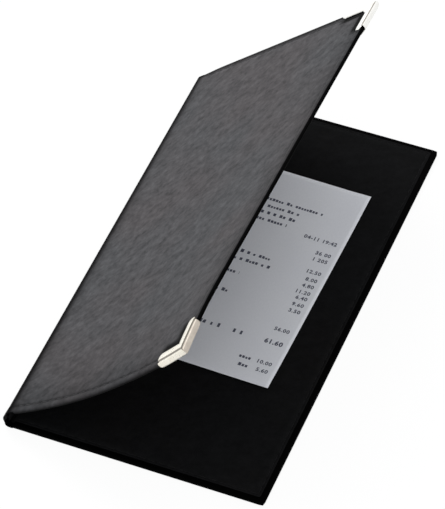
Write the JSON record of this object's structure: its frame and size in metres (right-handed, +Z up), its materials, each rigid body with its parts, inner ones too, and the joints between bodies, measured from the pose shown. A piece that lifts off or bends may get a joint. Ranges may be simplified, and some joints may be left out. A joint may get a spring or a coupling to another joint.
{
  "type": "guest check presenter",
  "caption": "Tall folding guest check presenter: padded leatherette covers on a soft spine, pale metal corners on the front cover, inside pockets and a till receipt.",
  "frame": {"origin": "centre of the back cover's underside, on the table", "axes": "+X towards the free edges, away from the spine; +Y along the spine, from the tail to the head; +Z up"},
  "size_m": [0.1306, 0.2415, 0.0971],
  "materials": {
    "grey_leatherette": "satin",
    "black_lining": "satin",
    "foam": "matte",
    "greyboard": "matte",
    "thread": "matte",
    "pale_gold": "satin",
    "receipt_paper": "matte"
  },
  "bodies": {
    "back_cover": {"back_skin": "grey_leatherette", "back_foam": "foam", "back_board": "greyboard", "back_infill": "greyboard", "back_lining": "black_lining", "back_thread": "thread"},
    "spine": {"spine_skin": "grey_leatherette", "spine_card": "greyboard", "spine_lining": "black_lining"},
    "front_cover": {"front_skin": "grey_leatherette", "front_foam": "foam", "front_board": "greyboard", "front_infill": "greyboard", "front_lining": "black_lining", "front_thread": "thread", "tail_corner": "pale_gold", "head_corner": "pale_gold", "bill_pocket": "black_lining", "card_pocket": "black_lining"},
    "receipt": {"receipt": "receipt_paper"}
  },
  "joints": [
    {"name": "back_crease", "type": "hinge", "parent": "back_cover", "child": "spine", "pos_m": [-0.065, 0, 0.0006], "axis": [0, -1, 0], "range_deg": [-7.5, 97.5]},
    {"name": "front_crease", "type": "hinge", "parent": "spine", "child": "front_cover", "pos_m": [-0.06383, 0, 0.00952], "axis": [0, -1, 0], "range_deg": [-28, 38.3]},
    {"name": "receipt_slide", "type": "slide", "parent": "back_cover", "child": "receipt", "axis": [1, 0, 0], "range_m": [0, 0.08]}
  ]
}
